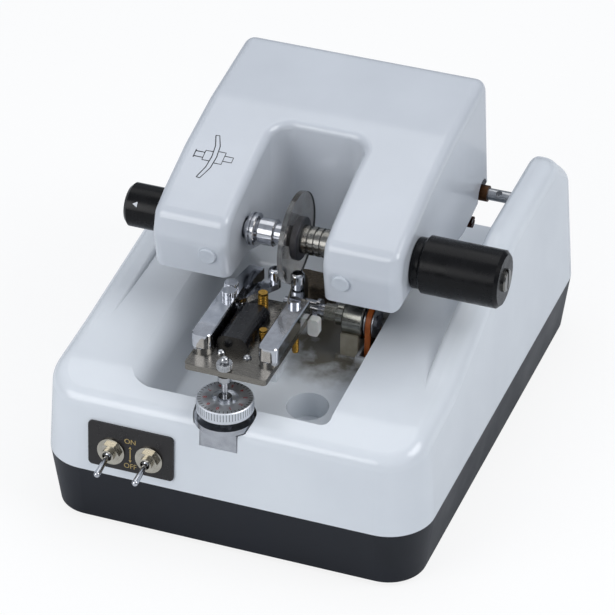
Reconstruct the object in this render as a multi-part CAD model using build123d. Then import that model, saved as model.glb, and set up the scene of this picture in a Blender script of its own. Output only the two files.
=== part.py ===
from build123d import *
from math import acos, atan, atan2, cos, degrees, radians, sin, sqrt, tan
import os

# Lens groover for spectacle lenses. Millimetres, +Z up, X to the right, Y to the rear.
# The origin is the middle of the footprint, on the surface that the feet stand on.

# Body
body_width = 180.0
body_length = 240.0
corner_radius = 21.0
foot_height = 3.0
seam_height = 31.0
tray_inset = 3.7
tray_wall = 3.0
shell_wall = 3.0
shell_draft = 3.8
shell_edge = 8.0
wall_edge = 3.0
lip_height = 3.0
lip_thickness = 2.0
lip_inset = shell_wall + 0.8
fit = 0.3
running_fit = 0.05

# Side walls of the shell and the bay for the head between them
side_wall = 17.5
bay_half = body_width / 2 - side_wall
bay_front = 20.0
bay_floor = 38.0
deck_front_z = 74.8
deck_front_y = -100.0
deck_nose_drop = 14.0
deck_nose_round = 30.0
deck_bend_y = -68.0
deck_bend_z = 77.2
deck_slope = 0.075
right_wall_start = 20.0
right_wall_z = 103.5
left_rise_y = 24.0
left_rise_z = 88.0
left_wall_start = 60.0
left_wall_z = 104.0
wall_rear_y = 88.0
rear_drop_y = 118.0
rear_drop_z = 78.0

# Trough
trough_floor = 59.0
trough_right = 43.0
trough_left = -34.0
trough_left_top = -46.0
trough_front = -106.0
trough_rear = 8.0
trough_corner = 4.0
trough_floor_round = 3.0
trough_blend = 14.0
cup_x = 24.0
cup_y = -80.0
cup_radius = 9.5
cup_depth = 10.0
pad_top = 66.0

# Lens axis, parallel to X, and the lens on it
lens_axis_y = -35.0
lens_axis_z = 117.0
lens_radius = 21.0
lens_thickness = 2.4
lens_curve = 120.0
lens_sag = lens_curve - sqrt(lens_curve ** 2 - lens_radius ** 2)

# Head
head_half = 58.0
head_wall = 2.8
head_edge = 5.0
head_top_y = 61.5
head_top_z = 158.5
head_roof = ((13.0, 152.5), (-18.0, 145.5), (-44.0, 136.6), (-55.8, 131.2))
head_nose_mid_z = 120.0
head_chin_y = -56.2
head_rear_y = 69.5
head_rear_z = 97.0
head_nose_y = -59.3
head_nose_z = 102.5
slot_half = 22.0
slot_rear = 4.0
slot_corner = 9.0
slot_edge = 4.0
plug_x = 31.2
plug_z = 114.3
plug_radius = 4.1
plug_stem = 3.0

# Hinge of the head
hinge_y = 58.5
hinge_z = 97.3
hinge_radius = 2.8
hinge_bush_radius = 3.8
hinge_bush_end = 61.0
hinge_boss_radius = 5.0
hinge_slot_radius = 6.5
grub_x = 66.5
grub_radius = 1.5
bracket_near = bay_half + shell_wall + 0.5
bracket_thickness = 3.0
bracket_far = bracket_near + bracket_thickness
hinge_shaft_half = bracket_far + 1.0

# Frame inside the head
frame_near = 46.0
frame_far = 49.0
block_y_front = -44.0
block_y_rear = -26.0
block_z_low = 108.0
block_z_high = 126.0
left_block_end = 27.0
right_block_end = 32.0
cross_front = 12.0
cross_rear = 15.0

# Brown screw low on the head
stop_y = 52.0
stop_z = 84.5
stop_radius = 1.5
stop_head_radius = 2.7
stop_head_start = 53.5
stop_head_end = 56.0

# Chucks and knobs
spindle_radius = 4.0
bearing_radius = 7.5
bearing_width = 5.0
flange_radius = 7.6
flange_start = -20.0
flange_end = -16.0
left_chuck_radius = 6.2
left_step = -7.5
left_chuck_end = -4.5
left_pad_radius = 4.8
right_chuck_radius = 6.5
right_chuck_end = 21.2
right_shaft_end = 42.0
right_shaft_radius = 3.0
pad_radius = 10.0
pad_thickness = 3.4
pad_gap = 0.3
pad_lift = 0.45
quill_radius = 6.0
quill_start = 21.5
quill_end = 57.0
clamp_knob_radius = 13.0
clamp_knob_start = 61.5
clamp_knob_end = 98.5
clamp_neck_radius = 11.5
clamp_hollow_radius = 7.0
clamp_hollow_end = 73.0
clamp_screw_tip = 52.0
clamp_head_radius = 5.2
clamp_head_start = 95.5
clamp_head_end = 100.0
turn_knob_radius = 10.0
turn_knob_end = 77.5
knob_gap = 0.4
knob_chamfer = 1.6

# Drive of the lens
lens_motor_y = 32.0
lens_motor_z = 122.0
lens_motor_radius = 12.0
lens_motor_length = 38.0
lens_pulley_start = 50.0
lens_pulley_width = 4.0
lens_pulley_radius = 8.0
lens_pinion_radius = 5.0
lens_belt_thickness = 1.2

# Groove wheel and its drive
wheel_x = lens_sag
wheel_axis_y = -35.0
wheel_axis_z = 81.0
wheel_radius = 14.2
wheel_thickness = 0.6
wheel_spindle_radius = 3.0
wheel_hub_radius = 5.5
wheel_hub_width = 2.0
collar_start = 6.0
collar_end = 13.5
sleeve_start = 16.0
sleeve_end = 21.6
sleeve_radius = 3.9
housing_start = 26.0
housing_end = 35.5
housing_radius = 8.8
housing_nose_start = 22.0
housing_nose_radius = 5.0
pulley_start = 36.6
pulley_width = 4.0
spindle_pulley_radius = 6.0
motor_pulley_radius = 8.0
wheel_belt_thickness = 1.6
wheel_belt_width = 2.4
motor_z = 27.0
motor_radius = 15.0
motor_length = 38.0
motor_end = 34.0
motor_shaft_radius = 1.5
slot_x0 = 35.8
slot_x1 = 41.4
slot_y0 = -46.5
slot_y1 = -23.5
collar_wall = 1.4
collar_top = 69.0

# Swing plate, arms and depth dial
mech_x = -2.2
plate_half = 19.0
plate_front = -111.8
plate_rear = -53.0
plate_top = 94.0
plate_thickness = 3.0
plate_pivot_y = -62.0
plate_pivot_z = 87.0
plate_pivot_radius = 2.0
ear_near = 5.6
ear_far = 8.6
ear_half = 3.5
pedestal_half = 5.3
arm_offset = 15.4
arm_front = -101.5
arm_rear = -60.0
arm_width = 9.0
arm_bottom = 96.0
arm_top = 103.0
arm_post_y = -97.5
arm_post_radius = 2.5
arm_post_top = 101.0
arm_base_radius = 4.4
arm_tongue = 3.0
left_tail_x = -14.6
left_tail_y = -41.0
left_tail_top = 101.6
roller_y = -46.0
roller_radius = 3.2
roller_bottom = 101.4
roller_top = 106.2
roller_pin_radius = 1.1
roller_gap = 0.4
dial_x = -3.0
dial_y = -109.5
dial_radius = 12.6
dial_bottom = 73.0
dial_top = 79.0
dial_recess_radius = 6.0
dial_recess = 1.2
sleeve_rim_radius = 13.6
sleeve_rim_wall = 1.5
sleeve_rim_depth = 1.8
sleeve_low_radius = 8.6
sleeve_low_z = 57.0
sleeve_cone_low = 64.0
sleeve_cone_high = 67.6
sleeve_top = 70.2
sleeve_gap = 0.4
sleeve_front_y = -118.0
sleeve_front_top = 66.0
centre_tube_radius = 3.0
centre_tube_top = 79.8
rod_radius = 1.3
rod_foot = 60.0
rod_shoulder_radius = 3.0
rod_collar_radius = 3.3

# Switch panel on the front
panel_left = -64.0
panel_right = -23.6
panel_low = 35.6
panel_high = 58.0
panel_thickness = 1.0
panel_corner = 2.0
toggle_x = (-53.0, -35.0)
toggle_z = 44.4
toggle_bush_radius = 3.0
toggle_bush_end = 6.0
toggle_bore_radius = 2.2
toggle_pivot = 4.0
toggle_length = 14.4
toggle_root_radius = 1.1
toggle_tip_radius = 1.5
toggle_ball_radius = 1.9
toggle_pin_radius = 0.9
toggle_pin_half = 1.95
toggle_angle = 12.0
washer_radius = 6.4
washer_thickness = 0.8
nut_across = 8.6
nut_thickness = 2.2

# Electrics, feet and fasteners in the tray
foot_edge = 22.0
foot_radius = 8.0
centre_pad_radius = 10.0
foot_screw_radius = 1.5
post_x = body_width / 2 - 11.6
post_y_front = -body_length / 2 + 17.0
post_y_rear = body_length / 2 - 36.0
post_radius = 3.6
board_x = -12.0
board_width = 90.0
board_length = 60.0
board_rear = body_length / 2 - 20.0
board_z = 12.0
transformer_x = -51.0
transformer_front = -body_length / 2 + 28.0
transformer_width = 42.0
transformer_length = 46.0
transformer_height = 40.0
board_pin_radius = 1.2
inlet_x = -40.0
inlet_z = 17.0
inlet_width = 24.0
inlet_height = 15.0
fuse_x = -8.0
fuse_radius = 6.0


def box(x0, x1, y0, y1, z0, z1):
    """Block between two corners."""
    size = Box(abs(x1 - x0), abs(y1 - y0), abs(z1 - z0))
    return Pos((x0 + x1) / 2, (y0 + y1) / 2, (z0 + z1) / 2) * size


def rod_x(x0, x1, y, z, radius):
    """Round bar along X."""
    return Pos((x0 + x1) / 2, y, z) * Rot(0, 90, 0) * Cylinder(radius, abs(x1 - x0))


def rod_z(x, y, z0, z1, radius):
    """Upright round bar."""
    return Pos(x, y, (z0 + z1) / 2) * Cylinder(radius, abs(z1 - z0))


def tube_x(x0, x1, y, z, outer, inner):
    """Tube along X."""
    return rod_x(x0, x1, y, z, outer) - rod_x(x0 - 1, x1 + 1, y, z, inner)


def side_prism(corners, x0, x1):
    """Prism along X. Each corner is (y, z, radius)."""
    face = make_face(Plane.YZ * Polyline(*[(y, z) for y, z, _ in corners], close=True))
    for y, z, radius in corners:
        if radius > 0:
            corner = [v for v in face.vertices() if abs(v.Y - y) + abs(v.Z - z) < 1e-5]
            face = fillet(corner, radius)
    return Pos(x0, 0, 0) * extrude(face, amount=x1 - x0, dir=(1, 0, 0))


def front_face_plane(x, z):
    """Plane on the leaning front face of the shell, facing outwards."""
    lean = radians(shell_draft)
    y = -body_length / 2 + (z - seam_height) * tan(lean)
    return Plane(origin=(x, y, z), x_dir=(1, 0, 0), z_dir=(0, -cos(lean), sin(lean)))


def deck_z(y):
    """Height of the flat deck between the side walls."""
    return deck_bend_z + deck_slope * (y - deck_bend_y)


# Body shell

def shell_block(inset):
    """Tapered block with the outline of the body, from the seam up."""
    outline = RectangleRounded(body_width - 2 * inset, body_length - 2 * inset, corner_radius - inset)
    low = seam_height - inset
    return extrude(Plane.XY.offset(low) * outline, amount=90.0, taper=shell_draft)


def right_profile(drop):
    return [(-140.0, 10.0, 0), (-140.0, deck_front_z - deck_nose_drop - drop, 0),
            (deck_front_y, deck_front_z - drop, deck_nose_round),
            (deck_bend_y, deck_bend_z - drop, 50.0),
            (right_wall_start, right_wall_z - drop, 50.0),
            (wall_rear_y, right_wall_z + 1.3 - drop, 18.0),
            (rear_drop_y, rear_drop_z - drop, 0), (140.0, rear_drop_z - 20.0 - drop, 0), (140.0, 10.0, 0)]


def left_profile(drop):
    return [(-140.0, 10.0, 0), (-140.0, deck_front_z - deck_nose_drop - drop, 0),
            (deck_front_y, deck_front_z - drop, deck_nose_round),
            (deck_bend_y, deck_bend_z - drop, 50.0),
            (left_rise_y, left_rise_z - drop, 30.0),
            (left_wall_start, left_wall_z - drop, 25.0),
            (wall_rear_y, left_wall_z - drop, 18.0),
            (rear_drop_y, rear_drop_z - drop, 0), (140.0, rear_drop_z - 20.0 - drop, 0), (140.0, 10.0, 0)]


def full_outside(profile, inset, edge):
    """Outside of the shell with one side-view outline over the whole width."""
    solid = shell_block(inset) & side_prism(profile(inset), -body_width, body_width)
    if edge > 0:
        solid = fillet([e for e in solid.edges() if on_top_rim(e)], edge)
    return solid


def shell_half(profile, inset, edge, side):
    """One half of the shell: a side wall, and the deck with the bay for the head."""
    full = full_outside(profile, inset, edge)
    half = full & box(0, side * body_width, -body_length, body_length, 0, 200)
    wall = full & box(side * (bay_half + inset), side * body_width, -body_length, body_length, 0, 200)
    if edge > 0:
        inner = [e for e in wall.edges() if abs(abs(e.center().X) - bay_half) < 0.01
                 and e.center().Z > deck_z(e.center().Y) - 6 and abs(e.tangent_at(0.5).Z) < 0.95]
        wall = fillet([e for e in inner if e.center().Y > deck_bend_y], wall_edge)
    return half - above_deck(inset) - rear_bay(inset) + wall


def on_top_rim(edge):
    """True for the edges where the top meets the sides."""
    middle = edge.position_at(0.5)
    if middle.Z < seam_height + 20:
        return False
    if edge.geom_type == GeomType.LINE and abs(edge.tangent_at(0.5).X) > 0.99:
        return middle.Y < -100
    ends = (edge.position_at(0), edge.position_at(1))
    return min(p.Z for p in ends) > 76 - 8 and middle.Y < wall_rear_y


def above_deck(inset):
    """Everything above the deck, from where it meets the falling side walls."""
    start = deck_bend_y - 4.0
    return side_prism([(start, deck_z(start) - inset, 0), (start, 200.0, 0), (200.0, 200.0, 0),
                       (200.0, deck_z(200.0) - inset, 0)], -body_width, body_width)


def rear_bay(inset):
    """Space for the rear of the head, down to the low floor."""
    half = bay_half + inset
    return box(-half, half, bay_front - inset, 200.0, bay_floor - inset, 200.0)


def trough_space(grow):
    """Trough as a solid, larger on every side by grow. Its floor falls to the front with the deck."""
    front_deck = deck_z(trough_front) + 0.02
    low = trough_floor - grow
    points = [(trough_right + grow, low), (trough_right + grow, 130.0), (trough_left_top - 25.0, 130.0),
              (trough_left_top - 25.0, front_deck), (trough_left_top - grow, front_deck),
              (trough_left - grow, low)]
    face = make_face(Plane.XZ * Polyline(*points, close=True))
    blend = [v for v in face.vertices() if abs(v.X - points[4][0]) + abs(v.Z - front_deck) < 1e-5]
    face = fillet(blend, trough_blend)
    low_edges = [v for v in face.vertices() if abs(v.Z - low) < 1e-5]
    face = fillet(low_edges, trough_floor_round + grow)
    length = trough_rear - trough_front + 2 * grow
    solid = extrude(face, amount=length * sqrt(1 + deck_slope ** 2), dir=(0, 1, deck_slope))
    solid = Pos(0, trough_front - grow, -deck_slope * grow) * solid
    corners = [e for e in solid.edges().filter_by(Axis.Z) if e.center().X > 0]
    return fillet(corners, trough_corner + grow)


def cup_space(grow):
    """Round pocket in the floor of the trough."""
    return rod_z(cup_x, cup_y, trough_floor - cup_depth - grow, trough_floor + 4.0, cup_radius + grow)


def deck_pad(x0, x1, y0, y1):
    """Flat seat on the sloping floor of the trough."""
    return box(x0, x1, y0, y1, trough_floor - 1.0, pad_top)


def belt_slot(grow, low, high):
    """Slot for the wheel belt through the floor of the trough."""
    return box(slot_x0 - grow, slot_x1 + grow, slot_y0 - grow, slot_y1 + grow, low, high)


def sleeve_space(grow, top):
    """Turned outline of the fixed sleeve under the depth dial."""
    low, rim = sleeve_low_radius + grow, sleeve_rim_radius + grow
    outline = Polyline((0, sleeve_low_z), (low, sleeve_low_z), (low, sleeve_cone_low),
                       (rim, sleeve_cone_high - grow), (rim, top), (0, top), close=True)
    return Pos(dial_x, dial_y, 0) * revolve(make_face(Plane.XZ * outline), Axis.Z)


def front_notch():
    """Cut in the front wall that shows the sleeve."""
    half = sleeve_low_radius + sleeve_gap / 2
    return box(dial_x - half, dial_x + half, -body_length / 2 - 5, dial_y - 3, sleeve_low_z, sleeve_top)


def post_places():
    """Corners where the shell is screwed to the tray."""
    return [(sx * post_x, y) for sx in (-1, 1) for y in (post_y_front, post_y_rear)]


def shell_fittings():
    """Posts, seats and the collar of the belt slot, added inside and on the shell."""
    added = deck_pad(housing_start - 2, slot_x0 - 0.6, slot_y0 + 1.5, slot_y1 - 1.5)
    added += deck_pad(mech_x - pedestal_half - 2, mech_x + pedestal_half + 2, plate_pivot_y - 7, plate_pivot_y + 7)
    added += belt_slot(collar_wall, trough_floor - 1.0, collar_top)
    ledge = box(dial_x - 11, dial_x + 11, -body_length / 2 + 3, trough_front + 2, sleeve_low_z - 3, sleeve_low_z)
    added += ledge
    for x, y in post_places():
        top = deck_z(y) - 4 if y < 0 else seam_height + 30
        added += rod_z(x, y, 9.0, top, post_radius)
    return added


def body_shell():
    outside = shell_half(right_profile, 0, shell_edge, 1) + shell_half(left_profile, 0, shell_edge, -1)
    outside -= trough_space(0)
    inside = shell_half(right_profile, shell_wall, 0, 1) + shell_half(left_profile, shell_wall, 0, -1)
    inside -= trough_space(shell_wall)
    inside -= cup_space(shell_wall)
    shell = outside - inside - cup_space(0) + shell_fittings()
    shell -= belt_slot(0, trough_floor - 10, collar_top + 1)
    shell -= sleeve_space(sleeve_gap, dial_top)
    shell -= front_notch()
    for side in (-1, 1):
        shell -= rod_x(side * (bay_half - 1), side * (bay_half + 8), hinge_y, hinge_z, hinge_radius + fit)
        pocket_end = side * (hinge_shaft_half + 0.8)
        shell -= rod_x(side * (bay_half + shell_wall), pocket_end, hinge_y, hinge_z, hinge_boss_radius + fit)
    for x in toggle_x:
        face = front_face_plane(x, toggle_z)
        shell -= extrude(face * Circle(toggle_bush_radius + 0.1), amount=6, both=True)
    for x, y in post_places():
        shell -= rod_z(x, y, 5.0, 22.0, foot_screw_radius + running_fit)
    return shell


# Base tray

def tray_block(inset, low, high):
    """Drafted block with the outline of the tray."""
    angle = degrees(atan(tray_inset / (seam_height - foot_height)))
    shrink = 2 * (tray_inset + inset)
    outline = RectangleRounded(body_width - shrink, body_length - shrink, corner_radius - shrink / 2)
    return extrude(Plane.XY.offset(low) * outline, amount=high - low, taper=-angle)


def ring(outer_inset, thickness, low, high):
    """Upright wall that follows the outline of the body."""
    def plate(inset):
        outline = RectangleRounded(body_width - 2 * inset, body_length - 2 * inset, corner_radius - inset)
        return extrude(Plane.XY.offset(low) * outline, amount=high - low)
    return plate(outer_inset) - plate(outer_inset + thickness)


def foot_places():
    x, y = body_width / 2 - foot_edge, body_length / 2 - foot_edge
    return [(sx * x, sy * y) for sx in (-1, 1) for sy in (-1, 1)]


def rear_face_plane(x, z):
    """Plane on the leaning rear face of the tray, facing outwards."""
    lean = atan(tray_inset / (seam_height - foot_height))
    y = body_length / 2 - (seam_height - z) * tan(lean)
    return Plane(origin=(x, y, z), x_dir=(-1, 0, 0), z_dir=(0, cos(lean), -sin(lean)))


def base_tray():
    floor_z = foot_height + tray_wall
    tray = tray_block(0, foot_height, seam_height) - tray_block(tray_wall, floor_z, seam_height + 1)
    tray += ring(lip_inset, lip_thickness, seam_height - 4, seam_height + lip_height)
    tray += ring(2.0, lip_inset + lip_thickness - 2.0, seam_height - 4, seam_height)
    for x, y in post_places():
        tray += rod_z(x, y, floor_z - 1, 9.0, post_radius)
        tray -= rod_z(x, y, 0, 20, foot_screw_radius + running_fit)
        tray -= rod_z(x, y, 0, 5.0, foot_radius / 2)
    for x, y in foot_places():
        tray += rod_z(x, y, floor_z - 1, 10.0, 4.0)
        tray -= rod_z(x, y, 0, 11, foot_screw_radius + running_fit)
    for x in (2.0, 26.0):
        tray += box(x - 2, x + 2, wheel_axis_y - 13, wheel_axis_y + 13, floor_z - 1, motor_z - 6)
    tray -= rod_x(-10, 60, wheel_axis_y, motor_z, motor_radius)
    for x, y in board_posts():
        tray += rod_z(x, y, floor_z - 1, board_z, 3.0)
        tray += rod_z(x, y, board_z, board_z + 2.6, board_pin_radius)
    tray -= extrude(rear_face_plane(inlet_x, inlet_z) * Rectangle(inlet_width, inlet_height), amount=8, both=True)
    tray -= extrude(rear_face_plane(fuse_x, inlet_z) * Circle(fuse_radius), amount=8, both=True)
    return tray


def rubber_feet():
    """Four screwed feet, and a plain pad glued under the middle."""
    feet = [rod_z(0, 0, 0, foot_height, centre_pad_radius)]
    for x, y in foot_places():
        foot = rod_z(x, y, 0, foot_height, foot_radius)
        foot -= rod_z(x, y, -1, foot_height + 1, foot_screw_radius + running_fit)
        foot -= rod_z(x, y, -1, foot_height / 2, foot_radius / 2)
        feet.append(foot)
    return feet


def screw_up(x, y, seat, length, head_radius, radius):
    """Screw that points up, its head under the seat."""
    head = rod_z(x, y, seat - 1.2, seat, head_radius)
    head -= box(x - 3, x + 3, y - 0.4, y + 0.4, seat - 2, seat - 0.6)
    return head + rod_z(x, y, seat, seat + length, radius)


def tray_screws():
    """Screws of the feet and of the shell."""
    screws = [screw_up(x, y, foot_height / 2, 8.0, 2.9, foot_screw_radius) for x, y in foot_places()]
    screws += [screw_up(x, y, 5.0, 14.0, 2.9, foot_screw_radius) for x, y in post_places()]
    return screws


# Electrics

def board_posts():
    dx, dy = board_width / 2 - 5, board_length / 2 - 6
    middle = board_rear - board_length / 2
    return [(board_x + sx * dx, middle + sy * dy) for sx in (-1, 1) for sy in (-1, 1)]


def control_board():
    """Circuit board with its two large capacitors, relay, heat sinks and sockets."""
    top = board_z + 1.6
    half = board_width / 2
    board = box(board_x - half, board_x + half, board_rear - board_length, board_rear, board_z, top)
    for x, y in board_posts():
        board -= rod_z(x, y, board_z - 1, board_z + 3, board_pin_radius + running_fit)
    x, y = board_x, board_rear
    board += rod_z(x - 26, y - 42, top, top + 16, 6.0) + rod_z(x - 26, y - 24, top, top + 12, 5.0)
    board += box(x - 8, x + 8, y - 46, y - 32, top, top + 12) + box(x + 14, x + 26, y - 46, y - 18, top, top + 9)
    return board + box(x - 8, x, y - 22, y - 8, top, top + 6) + box(x + 30, x + 38, y - 40, y - 24, top, top + 7)


def transformer():
    floor_z = foot_height + tray_wall
    x0, x1 = transformer_x - transformer_width / 2, transformer_x + transformer_width / 2
    y0, y1 = transformer_front, transformer_front + transformer_length
    core = box(x0, x1, y0, y1, floor_z, floor_z + transformer_height)
    low, high = floor_z + 6, floor_z + transformer_height - 6
    core -= box(x0 - 1, x1 + 1, y0 + 6, y0 + 14, low, high) + box(x0 - 1, x1 + 1, y1 - 14, y1 - 6, low, high)
    return core + box(x0 + 2, x1 - 2, y0 + 6.2, y1 - 6.2, low + 1, high - 1)


def power_inlet():
    face = rear_face_plane(inlet_x, inlet_z)
    body = extrude(face.offset(-14) * Rectangle(inlet_width - 0.2, inlet_height - 0.2), amount=14)
    body += extrude(face * RectangleRounded(inlet_width + 6, inlet_height + 4, 2), amount=2)
    body -= extrude(face.offset(-10) * RectangleRounded(inlet_width - 6, inlet_height - 5, 3), amount=13)
    for x in (-5, 0, 5):
        body += extrude(face.offset(-11) * Pos(x, 0) * Rectangle(1.4, 4), amount=8)
    return body


def fuse_holder():
    face = rear_face_plane(fuse_x, inlet_z)
    body = extrude(face.offset(-17) * Circle(fuse_radius - 0.1), amount=17)
    body += extrude(face * Circle(fuse_radius + 2), amount=3)
    cap = extrude(face.offset(3) * Circle(fuse_radius), amount=4)
    slot = extrude(face.offset(5.5) * Rectangle(1.2, 2 * fuse_radius + 2), amount=3)
    return body + cap - slot


# Hinge of the head

def hinge_brackets():
    brackets = []
    floor_z = foot_height + tray_wall
    for side in (-1, 1):
        near, far = side * bracket_near, side * bracket_far
        plate = box(near, far, hinge_y - 10, hinge_y + 10, floor_z, hinge_z - 2)
        plate += rod_x(near, side * hinge_shaft_half, hinge_y, hinge_z, hinge_boss_radius)
        plate += box(side * (bracket_near - 16), near, hinge_y - 10, hinge_y + 10, floor_z, floor_z + 3)
        plate -= rod_x(side * (bracket_near - 5), side * (hinge_shaft_half + 5), hinge_y, hinge_z, hinge_radius)
        brackets.append(plate)
    return brackets


def hinge_shaft():
    shaft = rod_x(-hinge_shaft_half, hinge_shaft_half, hinge_y, hinge_z, hinge_radius)
    grub = Plane(origin=(grub_x, hinge_y, hinge_z), z_dir=(0, -0.6, 0.8))
    return shaft - extrude(grub * Circle(grub_radius), amount=6)


def hinge_bushes():
    bushes = []
    for side in (-1, 1):
        start, end = side * (frame_near - 3), side * hinge_bush_end
        bushes.append(tube_x(min(start, end), max(start, end), hinge_y, hinge_z, hinge_bush_radius,
                             hinge_radius + running_fit))
    return bushes


# Head

def head_profile():
    """Side-view outline of the head."""
    roof = [(y, z, radius) for (y, z), radius in zip(head_roof, (60.0, 60.0, 30.0, 7.0))]
    nose = [(head_nose_y, head_nose_mid_z, 10.0), (head_chin_y, head_nose_z, 0), (-32.0, head_nose_z, 4.0)]
    below = [(-8.0, 93.5, 12.0), (33.0, 87.5, 20.0), (57.0, 92.0, 8.0)]
    return [(head_rear_y, head_rear_z, 0), (head_top_y, head_top_z, 7.0)] + roof + nose + below


def head_hollow():
    """Inside of the head, open below."""
    wall = head_wall
    roof = [(y, z - wall, 0) for y, z in head_roof[:3]]
    last_y, last_z = head_roof[3]
    outline = [(head_rear_y - wall, head_rear_z - 30, 0), (head_rear_y - wall, head_rear_z, 0),
               (head_top_y - wall, head_top_z - wall - 1, 4.0)] + roof
    outline += [(last_y + wall / 2, last_z - wall / 4, 3.0), (head_nose_y + wall, head_nose_mid_z, 0),
                (head_chin_y + wall, head_nose_z, 0), (head_chin_y + wall, head_nose_z - 40, 0)]
    return side_prism(outline, -head_half + wall, head_half - wall)


def slot_block(grow):
    """Upright block of the slot between the arms."""
    half = slot_half + grow
    block = box(-half, half, -90.0, slot_rear + grow, 60.0, 190.0)
    corners = [e for e in block.edges().filter_by(Axis.Z) if e.center().Y > 0]
    return fillet(corners, slot_corner + grow)


def head_outside():
    solid = side_prism(head_profile(), -head_half, head_half)
    solid -= slot_block(0)
    sides = [e for e in solid.edges() if abs(abs(e.center().X) - head_half) < 0.01 and upper_edge(e)]
    solid = fillet(sides, head_edge)
    slot = [e for e in solid.edges() if abs(e.center().X) < slot_half + 0.01 and upper_edge(e)
            and e.center().Y < slot_rear + 0.5 and not e.geom_type == GeomType.LINE or is_slot_line(e)]
    return fillet(slot, slot_edge)


def upper_edge(edge):
    """True for edges of the head that aren't on its lower rim."""
    c = edge.position_at(0.5)
    return c.Z > head_nose_z + 1 or c.Y > head_rear_y - 6


def is_slot_line(edge):
    c = edge.position_at(0.5)
    on_wall = abs(abs(c.X) - slot_half) < 0.01 or abs(c.Y - slot_rear) < 0.01
    return edge.geom_type == GeomType.LINE and on_wall and c.Z > head_nose_z + 1 and (
        abs(edge.tangent_at(0.5).Z) < 0.99 or c.Y < -50)


def head_cover():
    cover = head_outside() - (head_hollow() - slot_block(head_wall))
    cover -= rod_x(-head_half - 5, -head_half + 8, lens_axis_y, lens_axis_z, spindle_radius + 1)
    cover -= rod_x(-slot_half - 5, -slot_half + 4, lens_axis_y, lens_axis_z, spindle_radius + 1)
    cover -= rod_x(slot_half - 4, head_half + 5, lens_axis_y, lens_axis_z, right_chuck_radius + 0.5)
    for side in (-1, 1):
        cover -= rod_x(side * (head_half - 8), side * (head_half + 5), hinge_y, hinge_z, hinge_slot_radius)
        cover -= extrude(plug_plane(side) * Circle(plug_stem + running_fit), amount=6, both=True)
    return cover


def plug_plane(side):
    """Plane on the nose of one arm of the head, facing outwards."""
    lean = atan((head_chin_y - head_nose_y) / (head_nose_mid_z - head_nose_z))
    y = head_chin_y - (plug_z - head_nose_z) * tan(lean)
    return Plane(origin=(side * plug_x, y, plug_z), x_dir=(1, 0, 0), z_dir=(0, -cos(lean), -sin(lean)))


def cap_plugs():
    plugs = []
    for side in (-1, 1):
        stem = extrude(plug_plane(side).offset(-5) * Circle(plug_stem), amount=5.5)
        face = extrude(plug_plane(side) * Circle(plug_radius), amount=1.4)
        rim = face.edges().filter_by(GeomType.CIRCLE).sort_by(Axis.Y)[0]
        plugs.append(stem + fillet(rim, 0.6))
    return plugs


def frame_side(x0, x1):
    """Side plate of the frame."""
    return side_prism([(64.0, 93.0, 4), (64.0, 106.0, 6), (48.0, 143.0, 8), (10.0, 140.0, 10), (-30.0, 128.0, 6),
                       (-48.0, 124.0, 6), (-48.0, 108.0, 5), (-10.0, 103.0, 10), (30.0, 97.0, 8),
                       (44.0, 90.0, 4)], x0, x1)


def head_frame():
    frame = frame_side(-frame_far, -frame_near) + frame_side(frame_near, frame_far)
    frame += box(-frame_far + 1, -left_block_end, block_y_front, block_y_rear, block_z_low, block_z_high)
    frame += box(right_block_end, frame_far - 1, block_y_front, block_y_rear, block_z_low, block_z_high)
    frame += box(-frame_near - 1, frame_near + 1, cross_front, cross_rear, 104.0, 138.0)
    frame += box(-frame_near - 1, frame_near + 1, hinge_y - 8, hinge_y - 5, 96.0, 118.0)
    frame += box(frame_near, frame_far, stop_y - 3.5, stop_y + 3.5, stop_z - 4.0, stop_z + 10)
    for side in (-1, 1):
        near, far = side * (frame_near - 3), side * (frame_far + 3)
        frame += rod_x(near, far, hinge_y, hinge_z, hinge_bush_radius + 2.2)
        for y, z in cover_posts():
            frame += rod_x(side * (frame_far - 1), side * (head_half - head_wall), y, z, 3.0)
    frame -= rod_x(-60, 60, hinge_y, hinge_z, hinge_bush_radius)
    frame -= rod_x(-60, -20, lens_axis_y, lens_axis_z, spindle_radius + 0.6)
    frame -= rod_x(-frame_far - 1, -frame_far + bearing_width, lens_axis_y, lens_axis_z, bearing_radius)
    frame -= rod_x(-left_block_end - bearing_width, -left_block_end + 1, lens_axis_y, lens_axis_z, bearing_radius)
    frame -= rod_x(25, 60, lens_axis_y, lens_axis_z, quill_radius + running_fit)
    frame -= rod_x(-60, -40, lens_motor_y, lens_motor_z, 4.0)
    frame -= rod_x(40, 60, stop_y, stop_z, stop_radius)
    return frame


def cover_posts():
    return [(46.0, 136.0), (0.0, 133.0)]


def chuck_bearings():
    bore = spindle_radius + running_fit
    starts = (-frame_far, -left_block_end - bearing_width)
    return [tube_x(x, x + bearing_width, lens_axis_y, lens_axis_z, bearing_radius, bore) for x in starts]


def lens_motor():
    body = rod_x(-frame_near, -frame_near + lens_motor_length, lens_motor_y, lens_motor_z, lens_motor_radius)
    rear = -frame_near + lens_motor_length
    end = rod_x(rear, rear + 3, lens_motor_y, lens_motor_z, 4.0)
    nose = rod_x(-frame_far, -frame_near, lens_motor_y, lens_motor_z, 4.0)
    body = body + end + nose
    return body - rod_x(-60, -30, lens_motor_y, lens_motor_z, 1.5 + running_fit)


def pulley_x(x0, width, y, z, radius, bore):
    """Small flanged pulley along X."""
    wheel = rod_x(x0, x0 + width, y, z, radius)
    wheel += rod_x(x0 - 0.5, x0, y, z, radius + 1.4) + rod_x(x0 + width, x0 + width + 0.5, y, z, radius + 1.4)
    return wheel - rod_x(x0 - 2, x0 + width + 2, y, z, bore)


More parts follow.
